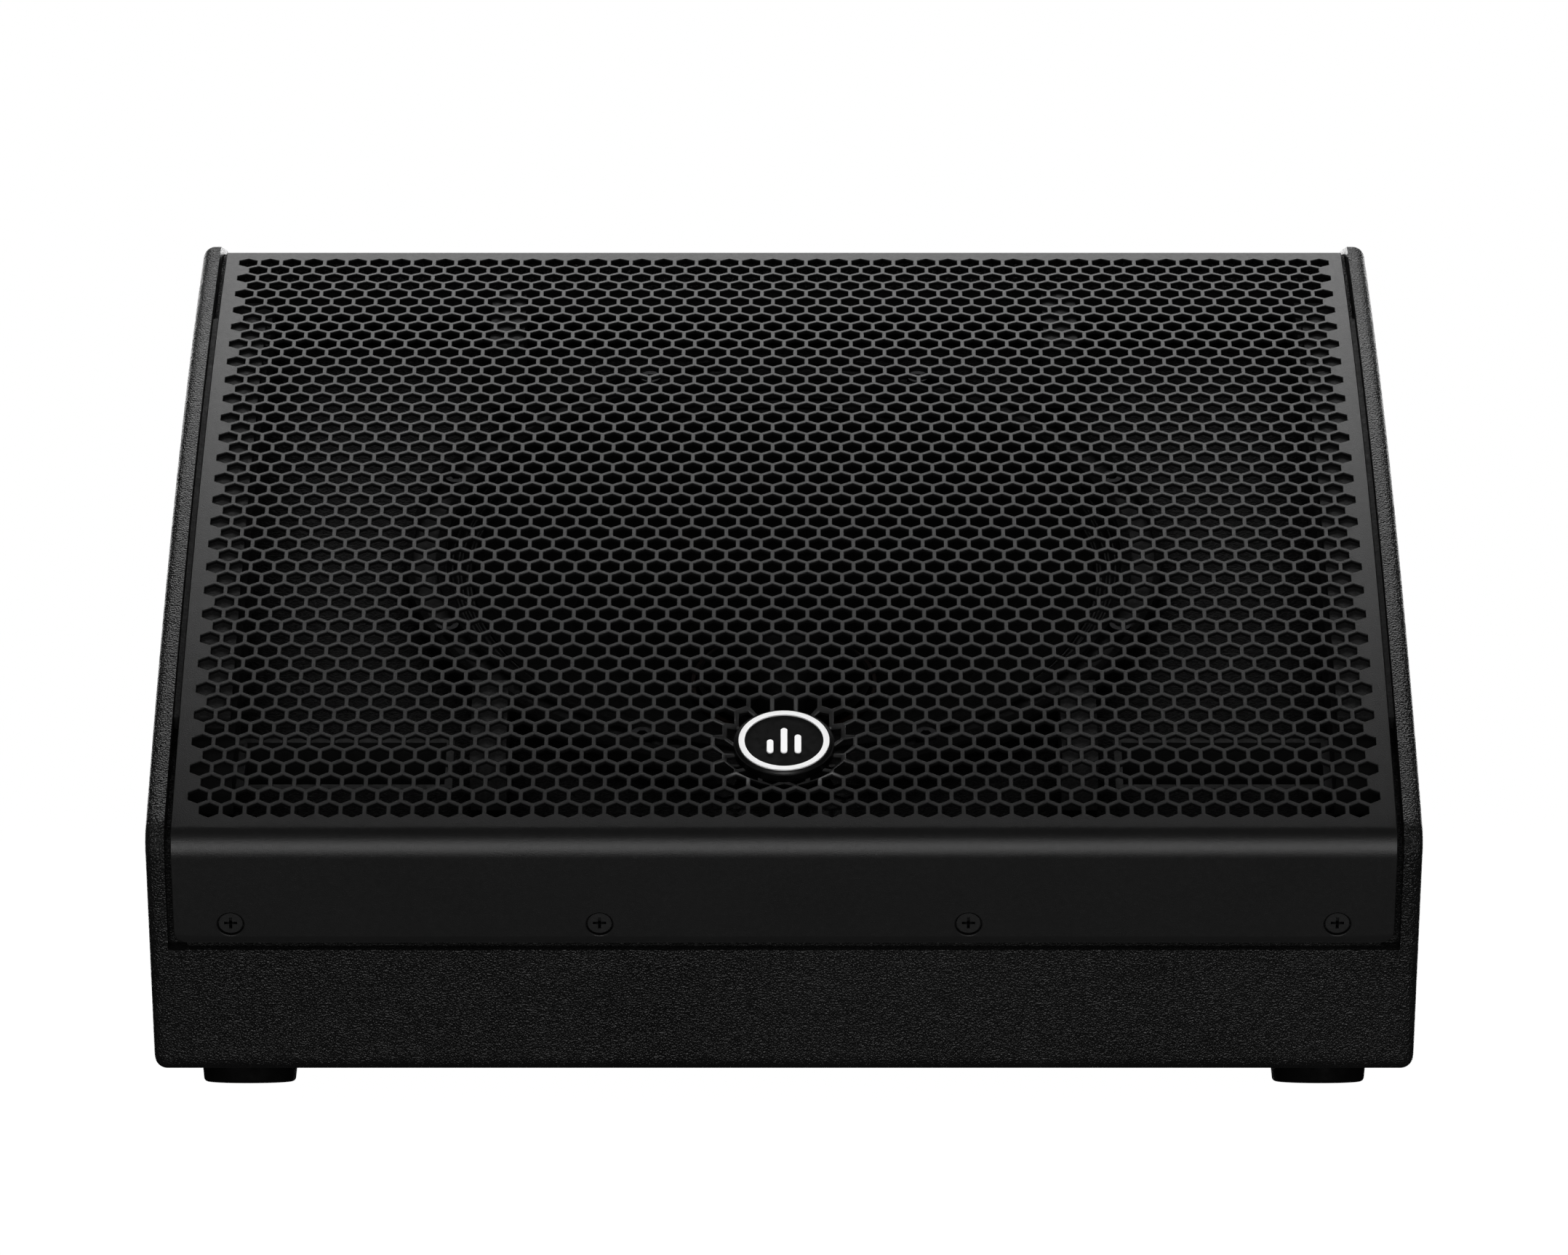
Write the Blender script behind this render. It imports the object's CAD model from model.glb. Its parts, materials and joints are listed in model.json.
import json
import math

import bmesh
import bpy
from mathutils import Matrix, Vector
from mathutils.geometry import tessellate_polygon


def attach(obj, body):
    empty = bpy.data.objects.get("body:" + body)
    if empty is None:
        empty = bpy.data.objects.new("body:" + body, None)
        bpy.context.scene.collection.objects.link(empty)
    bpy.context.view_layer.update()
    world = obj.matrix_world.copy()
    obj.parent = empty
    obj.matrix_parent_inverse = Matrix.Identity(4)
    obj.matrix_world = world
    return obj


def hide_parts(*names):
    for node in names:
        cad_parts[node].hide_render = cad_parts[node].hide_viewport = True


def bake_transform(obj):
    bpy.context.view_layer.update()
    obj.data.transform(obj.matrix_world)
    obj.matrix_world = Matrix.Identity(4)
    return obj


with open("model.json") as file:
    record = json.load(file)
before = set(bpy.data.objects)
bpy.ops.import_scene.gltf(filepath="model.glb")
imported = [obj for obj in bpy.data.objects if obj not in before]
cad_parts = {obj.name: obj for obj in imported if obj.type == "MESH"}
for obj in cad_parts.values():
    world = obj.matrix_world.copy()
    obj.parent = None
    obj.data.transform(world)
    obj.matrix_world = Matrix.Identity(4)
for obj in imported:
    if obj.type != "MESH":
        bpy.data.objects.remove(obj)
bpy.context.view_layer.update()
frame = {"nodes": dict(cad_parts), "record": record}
MM = 0.001

# ---- sizes and places in millimetres, as in the CAD, and the details that only the looks have --------
# The grille: places down its surface are counted along the arc from the top row of holes.
ARC_R, ARC_Y, ARC_Z = 1497.5, 774.5, -1011.8
ARC_MID = 33.44  # degrees from vertical of the middle of the holes, where the driver's axis comes out
TILT = 32.9  # degrees from vertical of that axis
REAR_LEAN = 6.0
HEEL_Y, FOOT_HEIGHT, AMP_Z = 229.28, 8.0, 155.0
PITCH = 9.4  # hole to hole
HOLE_FLATS = 7.5
ROWS = 52
ROW_HOLES = 50  # in the top row and every second one; the rows between have one fewer
ROW_ONE = 25.51  # degrees from vertical of the top row of holes
SHEET = 1.5
HALF_GRILLE = 240.0
MARGIN_TOP = 11.3  # sheet above the top row, along the arc
BEND_START = 424.6  # along the arc from the top row
BEND_R = 10.0
LIP_TURN = 81.15  # degrees that the bend turns through
BEND_STEPS = 20
LIP_LEAD = 0.5  # flat strip between the bend and the rest of the lip
LIP_LENGTH = 40.0
LIP_CORNER_R = 5.5
SCREWS_X = (-217.5, -72.5, 72.5, 217.5)
SCREW_UP = 9.0  # from the lip's lower edge
SCREW_HOLE_R = 5.35
CORNER_STEPS, HOLE_STEPS = 12, 48
LAYERS = ((0.0, 0.30), (0.115, 0.136), (0.35, 0.0), (SHEET, 0.0))  # depth, and how much wider the holes are
# The badge, in its dish.
BADGE_DOWN = 374.0
BADGE_R = 20.0
BADGE_STEPS = 128
AXIS_R = 0.01  # a turned outline stops just short of its axis
BADGE_TOP = -0.5  # its face, from the grille's
BADGE_LAND_R, BADGE_STEP = 18.6, 0.5  # the raised middle of its face, and how far the rim lies below
BADGE_EASE, RING_EASE = 0.15, 0.12  # rounding of edges
RING_R = (15.6, 18.0)
BARS = ((-5.5, 8.0), (0.0, 15.0), (5.5, 11.0))  # place and height of each
BARS_FOOT, BAR_HALF, SIGN_TALL = -7.5, 1.35, 0.7
BAR_STEPS, BAR_EASE, BAR_TOP = 24, 0.2, 0.88  # round the ends; the eased edge's height and share of width
DISH_R, DISH_FLOOR_R, DISH_DEEP = 27.2, 21.4, 4.6
# The driver.
CONE_R, CONE_NECK_R = 127.6, 38.5
CONE_EDGE_Z, CONE_NECK_Z = -39.4, -94.6  # in the driver's frame
CONE_THICK = 1.2
CONE_RINGS, CONE_RING_HALF = (0.35, 0.55, 0.75), 0.018  # shares of the way from neck to edge
CONE_RING_TALL = 1.0
CONE_STEPS, SURROUND_STEPS, ROUND_STEPS = 60, 48, 144
SURROUND_R = (127.2, 138.2)
SURROUND_Z = (-41.0, -34.0)  # at the cone and at the frame
SURROUND_THICK, SURROUND_ROLL, SURROUND_ROLLS = 0.7, 1.5, 3  # the last two: height and count
# The amplifier panel, in the rear frame.
FACE = -11.5  # its outer face
KNOB_X, KNOB_Y = -66.0, (68.0, 14.0)
KNOB_TOP = -1.4
KNOB_SLOT = (1.6, 5.9, 0.45)  # pointer's start, end and half width
POINTER_LOW, POINTER_HIGH = 0.5, 0.12  # its underside and its face, below the knob's top
KNOB_SWING = 150.0  # degrees each way
SWITCH_Y = (-34.0, -62.0)
AMP_BOARD_FACE, CONTROL_BOARD_FACE = -58.2, -25.2  # their parts stand above these levels
TICKS, TICK_FROM, TICK_TO, LONG_TICK_TO = 11, 10.4, 11.8, 12.6  # count and radii
PRINT_TALL = 0.06
STROKE_CORNER = 0.6  # the corners of a stroke's round end, along and across, in half widths
FINE_HALF, BOLD_HALF = 0.22, 0.42  # half widths of the printed strokes
CHANNELS = ((-131.0, -22.0, 46.0, 90.0), (-131.0, -22.0, -8.0, 36.0))  # printed frames
SWITCH_STOPS = ((-2.0, 2.0), (-2.0, 0.0, 2.0))
DOT_SPREAD = 1.4  # the dots stand wider apart than the stops
DOT_FROM, DOT_TO = 5.0, 6.2  # above the switch

SIN_R, COS_R = math.sin(math.radians(REAR_LEAN)), math.cos(math.radians(REAR_LEAN))
MID_Y = ARC_Y - ARC_R * math.sin(math.radians(ARC_MID))
MID_Z = ARC_Z + ARC_R * math.cos(math.radians(ARC_MID))
REAR_Y = HEEL_Y - (AMP_Z - FOOT_HEIGHT) * math.tan(math.radians(REAR_LEAN))


def baffle_frame():
    """Matrix from the driver's frame (z along its axis), in metres, to the row frame."""
    turn = Matrix.Rotation(math.radians(TILT), 4, "X")
    return Matrix.Translation(Vector((0, MID_Y, MID_Z)) * MM) @ turn


def rear_frame():
    """Matrix from the rear panel's frame (z out of it, y up), in metres, to the row frame."""
    m = Matrix(((-1, 0, 0), (0, -SIN_R, COS_R), (0, COS_R, SIN_R))).to_4x4()
    return Matrix.Translation(Vector((0, REAR_Y, AMP_Z)) * MM) @ m


def grille_frame(down):
    """Matrix of a frame on the grille's face, z outward, at a distance along the arc from the top row."""
    angle = math.radians(ROW_ONE) + down / ARC_R
    y, z = ARC_Y - ARC_R * math.sin(angle), ARC_Z + ARC_R * math.cos(angle)
    return Matrix.Translation(Vector((0, y, z)) * MM) @ Matrix.Rotation(angle, 4, "X")


# ---- material kit -----------------------------------------------------------------------------------
class Shade:
    """One Principled material and the nodes that feed it. Texture space is the row frame, in metres."""

    def __init__(self, name, **sockets):
        self.material = bpy.data.materials.new(name)
        self.material.use_nodes = True
        self.tree = self.material.node_tree
        self.bsdf = self.tree.nodes["Principled BSDF"]
        self.normal = None
        for key, value in sockets.items():
            self.bsdf.inputs[key.replace("_", " ")].default_value = value
        self.space = self.node("ShaderNodeTexCoord").outputs["Object"]

    def node(self, kind, **values):
        made = self.tree.nodes.new(kind)
        for key, value in values.items():
            if hasattr(made, key):
                setattr(made, key, value)
            else:
                made.inputs[key.replace("_", " ")].default_value = value
        return made

    def link(self, a, b):
        self.tree.links.new(a, b)

    def stretched(self, x, y, z):
        """Texture space scaled unevenly."""
        node = self.node("ShaderNodeMapping")
        node.inputs["Scale"].default_value = (x, y, z)
        self.link(self.space, node.inputs["Vector"])
        return node.outputs["Vector"]

    def noise(self, scale, detail=2.0, rough=0.5, space=None):
        node = self.node("ShaderNodeTexNoise", Scale=scale, Detail=detail, Roughness=rough)
        self.link(space or self.space, node.inputs["Vector"])
        return node.outputs["Fac"]

    def cells(self, scale, feature="F1", smooth=0.0):
        node = self.node("ShaderNodeTexVoronoi", feature=feature, Scale=scale)
        if feature == "SMOOTH_F1":
            node.inputs["Smoothness"].default_value = smooth
        self.link(self.space, node.inputs["Vector"])
        return node.outputs["Distance"]

    def ramp(self, value, low, high, a, b):
        """Maps low..high to a..b, clamped."""
        node = self.node("ShaderNodeMapRange")
        for key, number in zip(("From Min", "From Max", "To Min", "To Max"), (low, high, a, b)):
            node.inputs[key].default_value = number
        self.link(value, node.inputs["Value"])
        return node.outputs["Result"]

    def math(self, how, a, b):
        node = self.node("ShaderNodeMath", operation=how)
        for k, v in enumerate((a, b)):
            if isinstance(v, (int, float)):
                node.inputs[k].default_value = v
            else:
                self.link(v, node.inputs[k])
        return node.outputs["Value"]

    def mix(self, factor, a, b):
        """Colour a where factor is 0, b where it is 1."""
        node = self.node("ShaderNodeMix", data_type="RGBA")
        for key, value in (("A", a), ("B", b)):
            socket = [s for s in node.inputs if s.name == key and s.type == "RGBA"][0]
            if isinstance(value, tuple):
                socket.default_value = value
            else:
                self.link(value, socket)
        self.link(factor, node.inputs["Factor"])
        return [s for s in node.outputs if s.type == "RGBA"][0]

    def shine_open_faces(self, reach, level):
        """Specular level in the open, fading out in gaps narrower than reach, in metres."""
        node = self.node("ShaderNodeAmbientOcclusion", samples=6, Distance=reach)
        shine = self.ramp(node.outputs["AO"], 0.35, 0.95, 0.0, level)
        self.link(shine, self.bsdf.inputs["Specular IOR Level"])

    def beyond(self, place, level):
        """1 where a point lies further along a frame's z than a level in mm, and 0 elsewhere."""
        out = place.to_3x3().col[2]
        node = self.node("ShaderNodeVectorMath", operation="DOT_PRODUCT")
        self.link(self.space, node.inputs[0])
        node.inputs[1].default_value = tuple(out)
        return self.math("GREATER_THAN", node.outputs["Value"], out.dot(place.translation) + level * MM)

    def colour(self, value):
        self.link(value, self.bsdf.inputs["Base Color"])

    def rough(self, value):
        self.link(value, self.bsdf.inputs["Roughness"])

    def bump(self, height, strength, distance):
        """Adds a bump over the ones before it; distance is the height of 1, in metres."""
        node = self.node("ShaderNodeBump")
        node.inputs["Strength"].default_value = strength
        node.inputs["Distance"].default_value = distance
        self.link(height, node.inputs["Height"])
        if self.normal:
            self.link(self.normal, node.inputs["Normal"])
        self.normal = node.outputs["Normal"]
        self.link(self.normal, self.bsdf.inputs["Normal"])


def grey(v):
    return (v, v, v, 1.0)


def coat():
    """Sprayed polyurea: close, uneven pebbles with a satin skin, dull in the corners."""
    s = Shade("coat")
    s.bump(s.noise(280.0, 1.0), 1.0, 0.00012)
    s.bump(s.noise(1500.0, 0.5), 1.0, 0.0009)
    s.colour(s.mix(s.ramp(s.noise(12.0, 2.0), 0.35, 0.65, 0.0, 1.0), grey(0.008), grey(0.012)))
    s.rough(s.ramp(s.noise(300.0, 2.0), 0.3, 0.7, 0.26, 0.36))
    s.shine_open_faces(0.004, 0.5)
    return s.material


def hole_wall():
    """Thin, dull paint on the punched walls of the grille's holes."""
    s = Shade("hole_wall", Specular_IOR_Level=0.08)
    s.bump(s.noise(1500.0, 2.0), 0.3, 0.0001)
    s.colour(s.mix(s.noise(300.0), grey(0.002), grey(0.005)))
    s.rough(s.ramp(s.noise(400.0, 2.0), 0.3, 0.7, 0.6, 0.8))
    return s.material


def inner_coat():
    """The same coat laid on thinly inside the grille, duller and darker."""
    s = Shade("inner_coat")
    s.bump(s.noise(800.0, 3.0, 0.6), 1.0, 0.0016)
    s.colour(s.mix(s.noise(30.0, 3.0), grey(0.002), grey(0.004)))
    s.rough(s.ramp(s.noise(300.0, 2.0), 0.3, 0.7, 0.4, 0.55))
    s.shine_open_faces(0.03, 0.22)
    return s.material


def strip_foam():
    """Thin closed-cell foam tape under the grille's edges."""
    s = Shade("strip_foam", Specular_IOR_Level=0.3)
    s.bump(s.cells(900.0, "SMOOTH_F1", 0.3), 0.5, 0.0002)
    s.colour(s.mix(s.cells(900.0), grey(0.012), grey(0.03)))
    s.rough(s.ramp(s.noise(400.0, 2.0), 0.3, 0.7, 0.5, 0.65))
    return s.material


def powder(name, shade, low, high, crevice=None):
    """Powder coat: a fine tooth and a long orange peel over metal. Gaps narrower than crevice go dark."""
    s = Shade(name, Specular_IOR_Level=0.5)
    s.bump(s.noise(2600.0, 2.0, 0.6), 0.8, 0.00014)
    s.bump(s.noise(160.0, 1.0, 0.4), 0.15, 0.0001)
    paint = s.mix(s.noise(20.0, 3.0), grey(shade * 0.85), grey(shade * 1.15))
    if crevice:
        node = s.node("ShaderNodeAmbientOcclusion", samples=8, Distance=crevice)
        paint = s.mix(s.ramp(node.outputs["AO"], 0.3, 0.9, 0.0, 1.0), grey(0.001), paint)
        s.shine_open_faces(crevice, 0.5)
    s.colour(paint)
    s.rough(s.ramp(s.noise(500.0, 3.0), 0.3, 0.7, low, high))
    return s.material


def moulded(name, shade, low=0.4, high=0.55, grain=2200.0, depth=0.00005, level=0.5):
    """Moulded plastic with a spark-eroded grain."""
    s = Shade(name, Specular_IOR_Level=level)
    s.bump(s.noise(grain, 2.0, 0.6), 0.5, depth)
    s.colour(s.mix(s.noise(30.0, 3.0), grey(shade * 0.8), grey(shade * 1.2)))
    s.rough(s.ramp(s.noise(400.0, 3.0), 0.3, 0.7, low, high))
    return s.material


def rubber():
    s = Shade("rubber", Specular_IOR_Level=0.08)
    s.bump(s.noise(1500.0, 3.0, 0.6), 0.4, 0.0001)
    dust = s.ramp(s.noise(90.0, 4.0, 0.6), 0.5, 0.75, 0.0, 1.0)
    s.colour(s.mix(dust, grey(0.002), grey(0.005)))
    s.rough(s.ramp(s.noise(200.0, 2.0), 0.3, 0.7, 0.65, 0.85))
    return s.material


def foam():
    s = Shade("foam", Specular_IOR_Level=0.2)
    s.bump(s.cells(900.0, "SMOOTH_F1", 0.3), 0.9, 0.0005)
    s.colour(s.mix(s.cells(900.0), grey(0.13), grey(0.24)))
    s.rough(s.ramp(s.noise(400.0, 2.0), 0.3, 0.7, 0.8, 0.95))
    return s.material


def gasket():
    s = Shade("gasket", Specular_IOR_Level=0.2)
    s.bump(s.cells(1200.0, "SMOOTH_F1", 0.3), 0.8, 0.0003)
    s.colour(s.mix(s.noise(500.0), grey(0.008), grey(0.016)))
    s.rough(s.ramp(s.noise(300.0, 2.0), 0.3, 0.7, 0.85, 0.97))
    return s.material


def wool():
    s = Shade("wool", Specular_IOR_Level=0.1)
    tangled = s.noise(260.0, 6.0, 0.75, s.stretched(1.0, 0.35, 2.5))
    s.bump(tangled, 1.0, 0.004)
    s.colour(s.mix(tangled, grey(0.45), grey(0.8)))
    s.rough(s.ramp(tangled, 0.3, 0.7, 0.85, 1.0))
    return s.material


def cast():
    """Black paint on a die casting."""
    s = Shade("cast", Specular_IOR_Level=0.15)
    s.bump(s.noise(600.0, 4.0, 0.6), 0.5, 0.0002)
    s.colour(s.mix(s.noise(40.0, 3.0), grey(0.004), grey(0.008)))
    s.rough(s.ramp(s.noise(250.0, 3.0), 0.3, 0.7, 0.42, 0.6))
    return s.material


def steel(name, colour, low, high):
    """Turned or rolled metal with fine lines."""
    s = Shade(name, Metallic=1.0)
    lines = s.noise(90.0, 4.0, 0.7, s.stretched(1.0, 1.0, 40.0))
    s.bump(lines, 0.25, 0.00005)
    dark = tuple(c * 0.7 for c in colour) + (1.0,)
    s.colour(s.mix(s.noise(60.0, 4.0), dark, tuple(colour) + (1.0,)))
    s.rough(s.ramp(lines, 0.3, 0.7, low, high))
    return s.material


def ferrite():
    s = Shade("ferrite", Specular_IOR_Level=0.5)
    chips = s.cells(160.0)
    s.bump(s.noise(500.0, 5.0, 0.7), 0.6, 0.0003)
    s.colour(s.mix(s.ramp(chips, 0.1, 0.5, 0.0, 1.0), grey(0.03), grey(0.055)))
    s.rough(s.ramp(s.noise(200.0, 2.0), 0.3, 0.7, 0.5, 0.7))
    return s.material


def paper():
    """Pressed pulp cone, fibrous and matt."""
    s = Shade("paper", Specular_IOR_Level=0.08)
    fibres = s.noise(420.0, 6.0, 0.8, s.stretched(1.0, 3.0, 1.0))
    s.bump(fibres, 0.7, 0.0004)
    s.colour(s.mix(fibres, grey(0.003), grey(0.008)))
    s.rough(s.ramp(fibres, 0.3, 0.7, 0.7, 0.92))
    return s.material


def doped_cloth():
    """Woven cloth under a tacky dope."""
    s = Shade("doped_cloth", Specular_IOR_Level=0.15)
    weave = s.math("MULTIPLY", s.cells(1600.0), s.noise(1500.0, 1.0))
    s.bump(weave, 0.7, 0.0002)
    s.colour(s.mix(s.noise(80.0, 3.0), grey(0.003), grey(0.007)))
    s.rough(s.ramp(s.noise(120.0, 3.0), 0.35, 0.65, 0.35, 0.6))
    return s.material


def winding(name, light, dark, turns):
    """Wire or tape laid in close turns."""
    s = Shade(name, Specular_IOR_Level=0.5)
    wave = s.node("ShaderNodeTexWave", Scale=turns, Distortion=0.4)
    s.link(s.space, wave.inputs["Vector"])
    s.bump(wave.outputs["Fac"], 0.6, 0.0003)
    s.colour(s.mix(wave.outputs["Fac"], dark, light))
    s.rough(s.ramp(s.noise(200.0, 2.0), 0.3, 0.7, 0.3, 0.5))
    return s.material


def anodised():
    """Black anodised extrusion with die lines along its length."""
    s = Shade("anodised", Metallic=0.6)
    lines = s.noise(700.0, 3.0, 0.6, s.stretched(1.0, 0.02, 0.02))
    s.bump(lines, 0.3, 0.00005)
    s.colour(s.mix(s.noise(50.0, 3.0), grey(0.018), grey(0.032)))
    s.rough(s.ramp(lines, 0.3, 0.7, 0.3, 0.45))
    return s.material


def galvanised():
    s = Shade("galvanised", Metallic=1.0)
    spangle = s.node("ShaderNodeTexVoronoi", Scale=120.0)
    s.link(s.space, spangle.inputs["Vector"])
    s.colour(s.mix(spangle.outputs["Color"], grey(0.42), grey(0.6)))
    s.rough(s.ramp(spangle.outputs["Distance"], 0.0, 0.6, 0.3, 0.5))
    s.bump(spangle.outputs["Distance"], 0.2, 0.0001)
    return s.material


def circuit(name, level):
    """Green solder mask over tracks; the parts that stand above the board's face are black."""
    s = Shade(name, Specular_IOR_Level=0.5)
    tracks = s.node("ShaderNodeTexBrick", Scale=180.0, Mortar_Size=0.03)
    s.link(s.space, tracks.inputs["Vector"])
    mask = s.mix(tracks.outputs["Fac"], (0.004, 0.05, 0.018, 1), (0.01, 0.12, 0.045, 1))
    housings = s.mix(s.noise(60.0, 3.0), grey(0.006), grey(0.012))
    s.colour(s.mix(s.beyond(rear_frame(), level), mask, housings))
    s.bump(tracks.outputs["Fac"], 0.4, 0.00006)
    s.rough(s.ramp(s.noise(150.0, 2.0), 0.3, 0.7, 0.25, 0.4))
    return s.material


def lens():
    s = Shade("lens", Transmission_Weight=0.6, IOR=1.49)
    s.colour(s.mix(s.noise(600.0), (0.05, 0.4, 0.08, 1), (0.12, 0.6, 0.16, 1)))
    s.rough(s.ramp(s.noise(500.0, 2.0), 0.3, 0.7, 0.1, 0.2))
    return s.material


def print_white(name, shade):
    """Screen print or pad print, with a slight tooth."""
    s = Shade(name, Specular_IOR_Level=0.4)
    s.bump(s.noise(1500.0, 2.0), 0.2, 0.00003)
    s.colour(s.mix(s.noise(90.0, 3.0), grey(shade * 0.95), grey(shade)))
    s.rough(s.ramp(s.noise(400.0, 2.0), 0.3, 0.7, 0.35, 0.5))
    return s.material


def stained_ply():
    """Black-stained plywood, its plies just showing."""
    s = Shade("stained_ply", Specular_IOR_Level=0.3)
    grain = s.noise(60.0, 5.0, 0.65, s.stretched(0.15, 2.0, 6.0))
    s.bump(grain, 0.4, 0.0004)
    s.colour(s.mix(grain, grey(0.006), grey(0.014)))
    s.rough(s.ramp(grain, 0.3, 0.7, 0.7, 0.9))
    return s.material


MATERIALS = {
    "coat": coat(),
    "bare_board": stained_ply(),
    "grille_paint": powder("grille_paint", 0.018, 0.30, 0.38),
    "screw_black": steel("screw_black", (0.05, 0.05, 0.052), 0.3, 0.5),
    "zinc": steel("zinc", (0.6, 0.6, 0.62), 0.25, 0.4),
    "badge_black": moulded("badge_black", 0.012, 0.22, 0.34, 1800.0, 0.00002),
    "badge_white": print_white("badge_white", 0.85),
    "foot_rubber": rubber(),
    "foam": foam(),
    "wool": wool(),
    "cast_alloy": cast(),
    "motor_steel": steel("motor_steel", (0.10, 0.10, 0.11), 0.35, 0.55),
    "ferrite": ferrite(),
    "paper": paper(),
    "doped_cloth": doped_cloth(),
    "coil_copper": winding("coil_copper", (0.030, 0.012, 0.005, 1), (0.010, 0.004, 0.002, 1), 900.0),
    "titanium": steel("titanium", (0.45, 0.44, 0.43), 0.25, 0.35),
    "black_plastic": moulded("black_plastic", 0.014),
    "panel_alu": powder("panel_alu", 0.016, 0.42, 0.55),
    "heatsink_alu": anodised(),
    "tray_steel": galvanised(),
    "board_green": circuit("board_green", AMP_BOARD_FACE),
    "socket_steel": powder("socket_steel", 0.018, 0.34, 0.48),
    "lamp_lens": lens(),
    "knob_plastic": moulded("knob_plastic", 0.016, 0.3, 0.42, 1500.0, 0.00003),
    "transformer_tape": winding("transformer_tape", (0.5, 0.38, 0.05, 1), (0.32, 0.22, 0.02, 1), 160.0),
}
CONTROL_CIRCUIT = circuit("control_circuit", CONTROL_BOARD_FACE)
GASKET = gasket()
INNER_COAT = inner_coat()
STRIP_FOAM = strip_foam()
HOLE_WALL = hole_wall()
BADGE_FACE = moulded("badge_face", 0.002, 0.3, 0.42, 1800.0, 0.00001, 0.1)
DARK_PLASTIC = moulded("dark_plastic", 0.004, 0.5, 0.65, level=0.15)
SCREW_PAINT = powder("screw_paint", 0.024, 0.34, 0.44, 0.0015)
PRINT = print_white("panel_print", 0.7)


def finish_cad_nodes():
    """Gives each CAD node the material of its slot."""
    for part in frame["record"]["subparts"]:
        node = frame["nodes"][part["node"]]
        material = MATERIALS[part["material_slot"]]
        if not node.material_slots:
            node.data.materials.append(material)
        for place in node.material_slots:
            place.material = material
    for name, material in (
        ("control_board", CONTROL_CIRCUIT),
        ("driver_gasket", GASKET),
        ("hf_waveguide", DARK_PLASTIC),
        ("baffle", INNER_COAT),
        ("grille_spacers", STRIP_FOAM),
        ("grille_strips", STRIP_FOAM),
        ("grille_screws", SCREW_PAINT),
    ):
        for place in frame["nodes"][name].material_slots:
            place.material = material


# ---- mesh kit ---------------------------------------------------------------------------------------
def new_piece(name, verts, faces, material, body="cabinet", sharp=30.0):
    """A mesh object from metre coordinates in the row frame, riding on a body if one is named."""
    mesh = bpy.data.meshes.new(name)
    mesh.from_pydata([tuple(v) for v in verts], [], faces)
    work = bmesh.new()
    work.from_mesh(mesh)
    bmesh.ops.recalc_face_normals(work, faces=work.faces)
    work.to_mesh(mesh)
    work.free()
    mesh.shade_smooth()
    mesh.set_sharp_from_angle(angle=math.radians(sharp))
    mesh.materials.append(material)
    piece = bpy.data.objects.new(name, mesh)
    bpy.context.scene.collection.objects.link(piece)
    if body:
        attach(piece, body)
    return piece


def lathe(profile, place, steps):
    """Verts and faces of a closed (r, z) outline in mm turned about z, placed by a matrix."""
    verts, faces = [], []
    n = len(profile)
    for k in range(steps):
        a = 2 * math.pi * k / steps
        for r, z in profile:
            verts.append(place @ (Vector((r * math.cos(a), r * math.sin(a), z)) * MM))
    for k in range(steps):
        for i in range(n):
            j = (i + 1) % n
            m = (k + 1) % steps
            faces.append((k * n + i, m * n + i, m * n + j, k * n + j))
    return verts, faces


def rounded(points, radius, steps=4):
    """A closed outline with its corners rounded, each by at most radius."""
    out = []
    n = len(points)
    for i in range(n):
        p = Vector(points[i])
        a, b = Vector(points[i - 1]) - p, Vector(points[(i + 1) % n]) - p
        r = min(radius, 0.45 * a.length, 0.45 * b.length)
        start, end = p + a.normalized() * r, p + b.normalized() * r
        for k in range(steps + 1):
            t = k / steps
            out.append(tuple(start.lerp(p, t).lerp(p.lerp(end, t), t)))
    return out


# ---- the perforated grille --------------------------------------------------------------------------
def dish_depth(x, down):
    """How far the sheet is pressed in round the badge, mm."""
    r = math.hypot(x, down - BADGE_DOWN)
    t = min(max((DISH_R - r) / (DISH_R - DISH_FLOOR_R), 0.0), 1.0)
    return DISH_DEEP * t * t * (3 - 2 * t)


def on_sheet(x, down, depth):
    """A point of the grille (metres) at x, a distance down its surface from the top row, below its face."""
    if down <= BEND_START:
        angle = math.radians(ROW_ONE) + down / ARC_R
        r = ARC_R - depth - dish_depth(x, down)
        return Vector((x, ARC_Y - r * math.sin(angle), ARC_Z + r * math.cos(angle))) * MM
    angle = math.radians(ROW_ONE) + BEND_START / ARC_R
    r = ARC_R - BEND_R
    cy, cz = ARC_Y - r * math.sin(angle), ARC_Z + r * math.cos(angle)
    bend = BEND_R * math.radians(LIP_TURN)
    turned = angle + min(down - BEND_START, bend) / BEND_R
    y = cy - (BEND_R - depth) * math.sin(turned)
    z = cz + (BEND_R - depth) * math.cos(turned)
    along = max(down - BEND_START - bend, 0.0)
    return Vector((x, y - along * math.cos(turned), z - along * math.sin(turned))) * MM


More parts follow.
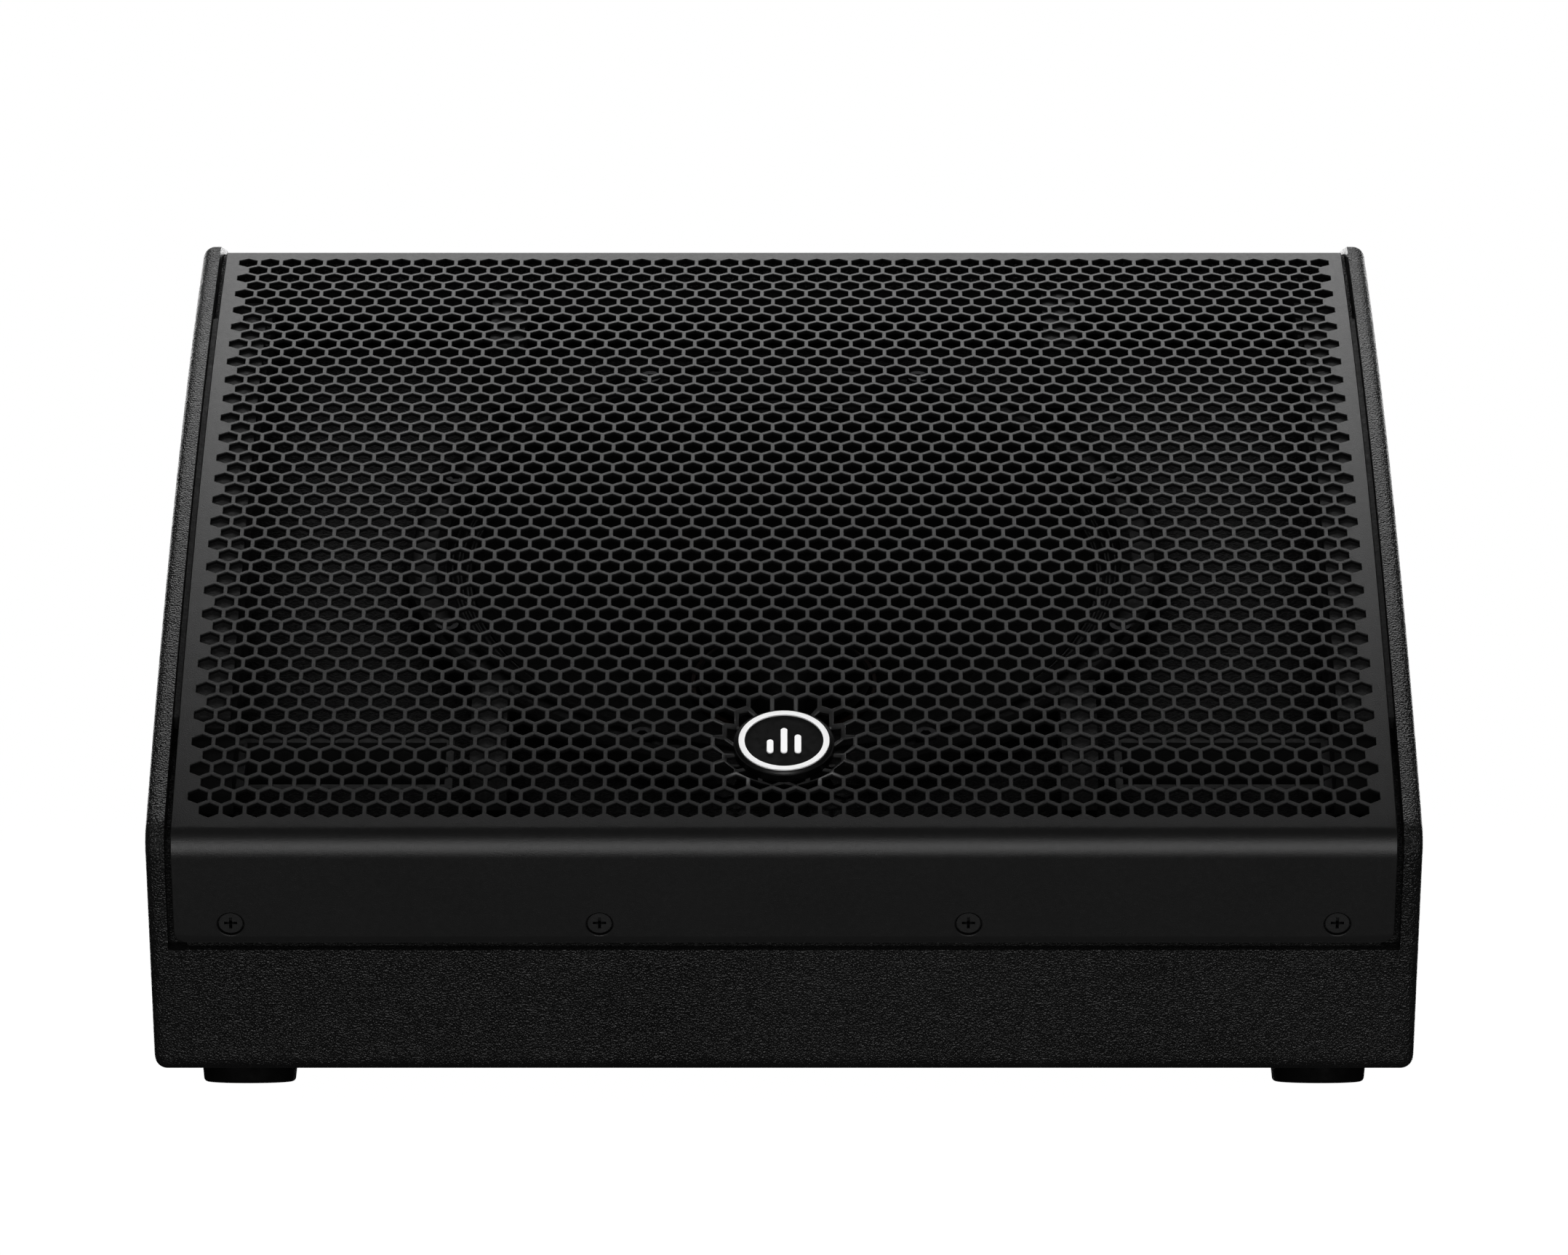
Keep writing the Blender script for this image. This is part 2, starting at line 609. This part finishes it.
def skin(depth, grow):
    """One skin of the grille below its face: vertices, faces. Holes and rims are grow mm wider open."""
    corner = PITCH / math.sqrt(3)  # cell centre to cell corner
    hole = HOLE_FLATS / math.sqrt(3) + grow
    half = HALF_GRILLE - grow
    turns = [math.radians(30 + 60 * k) for k in range(6)]
    spots = [(1, 1), (0, 2), (-1, 1), (-1, -1), (0, -2), (1, -1)]
    verts, faces, index = [], [], {}

    def vert(x, down, key=None):
        if key in index:
            return index[key]
        verts.append(on_sheet(x, down, depth))
        if key is not None:
            index[key] = len(verts) - 1
        return len(verts) - 1

    def lattice(i, j):
        """Cell corner: i in half pitches, j in half corner lengths."""
        return vert(i * PITCH / 2, j * corner / 2, (i, j))

    def strip(a, b):
        for k in range(len(a) - 1):
            faces.append((a[k], a[k + 1], b[k + 1], b[k]))

    for row in range(ROWS):
        count = ROW_HOLES - row % 2
        for k in range(count):
            i = 2 * k - (count - 1)
            x, down = i * PITCH / 2, row * 1.5 * corner
            ring = [vert(x + hole * math.cos(a), down + hole * math.sin(a)) for a in turns]
            cell = [lattice(i + di, 3 * row + dj) for di, dj in spots]
            strip(cell + cell[:1], ring + ring[:1])

    above = range(-ROW_HOLES, ROW_HOLES + 1)
    rim = [vert(i * PITCH / 2, -MARGIN_TOP + grow) for i in above]
    strip([lattice(i, -2 if i % 2 else -1) for i in above], rim)
    lowest = 3 * (ROWS - 1)
    for side in (-1, 1):
        spine = [(side * (ROW_HOLES - row % 2), 3 * row + dj) for row in range(ROWS) for dj in (-1, 1)]
        outer = [vert(side * half, j * corner / 2, ("side", side, j)) for _, j in spine]
        inner = [lattice(i, j) for i, j in spine]
        strip(inner, outer)
        tip = vert(side * half, -MARGIN_TOP + grow)
        faces.append((inner[0], outer[0], tip, rim[0 if side < 0 else -1]))

    under = range(1 - ROW_HOLES, ROW_HOLES)
    ends = [index["side", side, lowest + 1] for side in (-1, 1)]
    line = [ends[0]] + [lattice(i, lowest + (1 if i % 2 else 2)) for i in under] + [ends[1]]
    xs = [-half] + [i * PITCH / 2 for i in under] + [half]
    bend = BEND_R * math.radians(LIP_TURN)
    for turned in [bend * k / BEND_STEPS for k in range(BEND_STEPS + 1)] + [bend + LIP_LEAD]:
        down = BEND_START + turned
        below = [vert(x, down) for x in xs]
        strip(line, below)
        line = below
    lip(depth, grow, line, verts, faces)
    return verts, faces


def lip(depth, grow, line, verts, faces):
    """The flat lip below the bend, its lower corners rounded, with four countersunk holes."""
    start = BEND_START + BEND_R * math.radians(LIP_TURN)
    half, long = HALF_GRILLE - grow, LIP_LENGTH - grow
    loops = [[]]
    for side in (1, -1):
        arc = []
        for k in range(CORNER_STEPS + 1):
            a = math.pi / 2 * k / CORNER_STEPS
            x = side * (half - LIP_CORNER_R + LIP_CORNER_R * math.cos(a))
            arc.append((x, long - LIP_CORNER_R + LIP_CORNER_R * math.sin(a)))
        loops[0] += arc[::side]
    radius = SCREW_HOLE_R + grow
    for x in SCREWS_X:
        turns = [2 * math.pi * k / HOLE_STEPS for k in range(HOLE_STEPS)]
        centre = LIP_LENGTH - SCREW_UP
        loops.append([(x + radius * math.cos(a), centre + radius * math.sin(a)) for a in turns])
    ids = list(line)
    flat = [[Vector((verts[k].x / MM, 0.0, 0.0)) for k in line]]
    for n, loop in enumerate(loops):
        points = [Vector((x, along, 0.0)) for x, along in loop]
        first = len(verts)
        verts += [on_sheet(x, start + along, depth) for x, along in loop]
        ids += range(first, first + len(loop))
        if n == 0:
            flat[0] += points
        else:
            flat.append(points)
    for triangle in tessellate_polygon(flat):
        faces.append(tuple(ids[k] for k in triangle))


def grille():
    """Steel sheet with staggered hexagonal holes and eased edges, bent over into the lip below them."""
    verts, faces, starts = [], [], []
    for number, (depth, grow) in enumerate(LAYERS):
        skin_verts, skin_faces = skin(depth, grow)
        starts.append(len(verts))
        verts += skin_verts
        if number in (0, len(LAYERS) - 1):
            faces += [tuple(starts[-1] + k for k in f) for f in skin_faces]
    wall_from = len(faces)
    used = {}
    for f in skin_faces:
        for k, point in enumerate(f):
            edge = tuple(sorted((point, f[k - 1])))
            used[edge] = used.get(edge, 0) + 1
    for a, b in (edge for edge, times in used.items() if times == 1):
        for upper, lower in zip(starts, starts[1:]):
            faces.append((upper + a, upper + b, lower + b, lower + a))
    piece = new_piece("grille", verts, faces, MATERIALS["grille_paint"], sharp=28.0)
    piece.data.materials.append(HOLE_WALL)
    for face in piece.data.polygons:
        if len(face.vertices) == 4 and face.vertices[0] >= starts[2] and face.index >= wall_from:
            face.material_index = 1
    loose = bmesh.new()
    loose.from_mesh(piece.data)
    bmesh.ops.delete(loose, geom=[v for v in loose.verts if not v.link_faces], context="VERTS")
    loose.to_mesh(piece.data)
    loose.free()
    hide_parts("front_grille")


# ---- badge ------------------------------------------------------------------------------------------
def badge():
    """Plain round badge in the dish: a dark plate with a white ring and three level bars."""
    place = grille_frame(BADGE_DOWN)
    face, rim = BADGE_TOP, BADGE_TOP - BADGE_STEP
    outline = [(AXIS_R, -DISH_DEEP), (BADGE_R, -DISH_DEEP), (BADGE_R, rim - BADGE_EASE)]
    outline += [(BADGE_R - BADGE_EASE, rim), (BADGE_R - BADGE_STEP, rim)]
    outline += [(BADGE_LAND_R, face), (AXIS_R, face)]
    verts, faces = lathe(outline, place, BADGE_STEPS)
    plate = new_piece("badge_plate", verts, faces, BADGE_FACE, sharp=20.0)
    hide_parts("badge_base")
    top = face + SIGN_TALL
    ring = rounded([(RING_R[0], face), (RING_R[1], face), (RING_R[1], top), (RING_R[0], top)], RING_EASE)
    verts, faces = lathe(ring, place, BADGE_STEPS)
    for x, tall in BARS:
        bar_verts, bar_faces = pill(x, BARS_FOOT, BARS_FOOT + tall, BAR_HALF, face, top, place)
        base = len(verts)
        verts += bar_verts
        faces += [tuple(base + k for k in f) for f in bar_faces]
    mark = new_piece("badge_sign", verts, faces, MATERIALS["badge_white"])
    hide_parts("badge_mark")


def pill(x, y0, y1, half, z0, z1, place):
    """A bar with round ends standing on a face, its top edge eased."""
    ring = []
    for k in range(BAR_STEPS):
        a = 2 * math.pi * (k + 0.5) / BAR_STEPS
        y = (y1 - half if math.sin(a) > 0 else y0 + half) + half * math.sin(a)
        ring.append((x + half * math.cos(a), y))
    middle = (y0 + y1) / 2
    verts = []
    for scale, z in ((1.0, z0), (1.0, z1 - BAR_EASE), (BAR_TOP, z1)):
        for px, py in ring:
            sx = x + (px - x) * scale
            sy = py - (1 - scale) * half * (1 if py > middle else -1)
            verts.append(place @ (Vector((sx, sy, z)) * MM))
    n = len(ring)
    faces = [(m * n + k, m * n + (k + 1) % n, (m + 1) * n + (k + 1) % n, (m + 1) * n + k)
             for m in range(2) for k in range(n)]
    faces += [tuple(range(n)), tuple(range(2 * n, 3 * n))]
    return verts, faces


# ---- driver -----------------------------------------------------------------------------------------
def driver_cone():
    """Pulp cone with three pressed rings."""
    top, bottom = [], []
    for k in range(CONE_STEPS + 1):
        t = k / CONE_STEPS
        r = CONE_NECK_R + (CONE_R - CONE_NECK_R) * t
        z = CONE_NECK_Z + (CONE_EDGE_Z - CONE_NECK_Z) * t
        for centre in CONE_RINGS:
            z += CONE_RING_TALL * math.exp(-((t - centre) / CONE_RING_HALF) ** 2)
        top.append((r, z))
        bottom.append((r, z - CONE_THICK))
    verts, faces = lathe(top + bottom[::-1], baffle_frame(), ROUND_STEPS)
    piece = new_piece("cone_paper", verts, faces, MATERIALS["paper"], "cone_assembly")
    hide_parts("cone")


def driver_surround():
    """Accordion edge that stretches between the frame and the cone."""
    top, bottom = [], []
    for k in range(SURROUND_STEPS + 1):
        t = k / SURROUND_STEPS
        r = SURROUND_R[0] + (SURROUND_R[1] - SURROUND_R[0]) * t
        z = SURROUND_Z[0] + (SURROUND_Z[1] - SURROUND_Z[0]) * t
        z += SURROUND_ROLL * math.sin(SURROUND_ROLLS * math.pi * t) ** 2
        top.append((r, z))
        bottom.append((r, z - SURROUND_THICK))
    place = baffle_frame()
    verts, faces = lathe(top + bottom[::-1], place, ROUND_STEPS)
    piece = new_piece("surround_cloth", verts, faces, MATERIALS["doped_cloth"], None)
    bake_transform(piece)
    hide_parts("surround")


# ---- print on the amplifier panel -------------------------------------------------------------------
def strokes(lines, half, z0, z1):
    """Thin bars in the rear frame, each from one (x, y) point to another: vertices and faces."""
    verts, faces = [], []
    place = rear_frame()
    for start, end in lines:
        a, b = Vector(start), Vector(end)
        along = (b - a).normalized() * half
        across = Vector((-along.y, along.x))
        left, right = (along + across) * STROKE_CORNER, (along - across) * STROKE_CORNER
        ring = (a - left, a - along, a - right, a + across,
                b + across, b + left, b + along, b + right, b - across, a - across)
        n, base = len(ring), len(verts)
        verts += [place @ (Vector((p.x, p.y, z)) * MM) for z in (z0, z1) for p in ring]
        faces += [tuple(base + k for k in range(n)), tuple(base + n + k for k in range(n))]
        faces += [(base + k, base + (k + 1) % n, base + n + (k + 1) % n, base + n + k) for k in range(n)]
    return verts, faces


def panel_print():
    """Scales round the level knobs, frames round the channels and dots beside the switches."""
    fine, bold = [], []
    for knob_y in KNOB_Y:
        middle = Vector((KNOB_X, knob_y))
        for k in range(TICKS):
            a = math.radians(KNOB_SWING * (2 * k / (TICKS - 1) - 1))
            out = Vector((math.sin(a), math.cos(a)))
            ticks, reach = (bold, LONG_TICK_TO) if k % 5 == 0 else (fine, TICK_TO)
            ticks.append((middle + out * TICK_FROM, middle + out * reach))
    for x0, x1, y0, y1 in CHANNELS:
        corners = [(x0, y0), (x1, y0), (x1, y1), (x0, y1)]
        fine += list(zip(corners, corners[1:] + corners[:1]))
    for y, stops in zip(SWITCH_Y, SWITCH_STOPS):
        for stop in stops:
            x = KNOB_X + stop * DOT_SPREAD
            bold.append(((x, y + DOT_FROM), (x, y + DOT_TO)))
    for lines, half, name in ((fine, FINE_HALF, "panel_print_fine"), (bold, BOLD_HALF, "panel_print_bold")):
        verts, faces = strokes(lines, half, FACE, FACE + PRINT_TALL)
        new_piece(name, verts, faces, PRINT)


def knob_pointers():
    """White lines let into the level knobs."""
    start, end, half = KNOB_SLOT
    for k, y in enumerate(KNOB_Y, 1):
        line = ((KNOB_X, y + start + half), (KNOB_X, y + end - half))
        verts, faces = strokes([line], half, KNOB_TOP - POINTER_LOW, KNOB_TOP - POINTER_HIGH)
        new_piece("knob_pointer_%d" % k, verts, faces, PRINT, "level_knob_%d" % k)


# ---- the stage, the lights and the camera -----------------------------------------------------------
WEDGE_MIDDLE = (0, 0, 0.17)
BACK_POWER, FRONT_POWER, SIDE_POWER, REAR_POWER = 35.5, 97.0, 4.0, 60.0  # watts
FILL = 0.01  # of the surroundings, as the object sees them
SNOOT_POWER = 170.0
SNOOT_AWAY = 2.2  # metres from the badge
SNOOT_ANGLE = 1.3  # degrees, just wide enough for the badge
LENS, SENSOR = 210.17, 36.0
CAMERA_AWAY, CAMERA_HEIGHT = 3.8051, 0.183  # metres


def area(name, place, width, height, power):
    """Softbox at a place, turned to the middle of the wedge, unseen by the camera."""
    light = bpy.data.lights.new(name, "AREA")
    light.shape = "RECTANGLE"
    light.size, light.size_y = width, height
    light.energy = power
    lamp = bpy.data.objects.new(name, light)
    lamp.location = place
    lamp.rotation_euler = (Vector(WEDGE_MIDDLE) - place).to_track_quat("-Z", "Y").to_euler()
    lamp.visible_camera = False
    bpy.context.scene.collection.objects.link(lamp)


def snoot():
    """Narrow spot square to the badge, which lights little else."""
    place = grille_frame(BADGE_DOWN)
    light = bpy.data.lights.new("snoot", "SPOT")
    light.energy = SNOOT_POWER
    light.spot_size = math.radians(SNOOT_ANGLE)
    light.spot_blend = 0.2
    light.shadow_soft_size = 0.01
    lamp = bpy.data.objects.new("snoot", light)
    lamp.matrix_world = place @ Matrix.Translation((0, 0, SNOOT_AWAY))
    lamp.visible_camera = False
    bpy.context.scene.collection.objects.link(lamp)


def from_wedge(azimuth, elevation, distance):
    """A place seen from the middle of the wedge; azimuth 0 is behind it and 180 in front."""
    a, e = math.radians(azimuth), math.radians(elevation)
    out = Vector((math.sin(a) * math.cos(e), math.cos(a) * math.cos(e), math.sin(e)))
    return out * distance + Vector(WEDGE_MIDDLE)


def studio():
    """Pale floor and surroundings, softboxes behind, round the camera and at the sides, and a snoot."""
    mesh = bpy.data.meshes.new("floor")
    mesh.from_pydata([(-60, -9, 0), (60, -9, 0), (60, 200, 0), (-60, 200, 0)], [], [(0, 1, 2, 3)])
    floor = bpy.data.objects.new("floor", mesh)
    bpy.context.scene.collection.objects.link(floor)
    s = Shade("floor", Roughness=0.9, Specular_IOR_Level=0.0)
    s.bsdf.inputs["Base Color"].default_value = grey(0.05)
    s.bsdf.inputs["Emission Color"].default_value = grey(1.0)
    s.bsdf.inputs["Emission Strength"].default_value = 1.0
    mesh.materials.append(s.material)
    floor.visible_glossy = False
    floor.visible_diffuse = False
    floor.visible_shadow = False

    world = bpy.data.worlds.new("studio")
    bpy.context.scene.world = world
    world.use_nodes = True
    tree = world.node_tree
    tree.nodes.clear()
    out = tree.nodes.new("ShaderNodeOutputWorld")
    ways = tree.nodes.new("ShaderNodeLightPath")
    both = tree.nodes.new("ShaderNodeMixShader")
    seen = tree.nodes.new("ShaderNodeBackground")
    fill = tree.nodes.new("ShaderNodeBackground")
    seen.inputs["Color"].default_value = grey(1.0)
    fill.inputs["Color"].default_value = grey(1.0)
    fill.inputs["Strength"].default_value = FILL
    tree.links.new(ways.outputs["Is Camera Ray"], both.inputs["Fac"])
    tree.links.new(fill.outputs["Background"], both.inputs[1])
    tree.links.new(seen.outputs["Background"], both.inputs[2])
    tree.links.new(both.outputs["Shader"], out.inputs["Surface"])

    area("back_softbox", from_wedge(0, 50, 3.2), 3.0, 2.2, BACK_POWER)
    area("front_softbox", from_wedge(180, -9, 4.6), 4.0, 3.8, FRONT_POWER)
    area("rear_softbox", from_wedge(0, 3, 3.6), 3.2, 1.6, REAR_POWER)
    for side in (-1, 1):
        area("side_softbox", from_wedge(side * 90, 20, 3.5), 1.2, 1.2, SIDE_POWER)
    snoot()


def camera():
    """Long lens at the height of the wedge's middle, square to its front."""
    data = bpy.data.cameras.new("camera")
    data.lens = LENS
    data.sensor_width = SENSOR
    cam = bpy.data.objects.new("camera", data)
    cam.location = (0, -CAMERA_AWAY, CAMERA_HEIGHT)
    cam.rotation_euler = (math.radians(90), 0, 0)
    bpy.context.scene.collection.objects.link(cam)
    bpy.context.scene.camera = cam


camera()
studio()
finish_cad_nodes()
grille()
badge()
driver_cone()
driver_surround()
panel_print()
knob_pointers()
bpy.context.scene.view_settings.view_transform = "Standard"
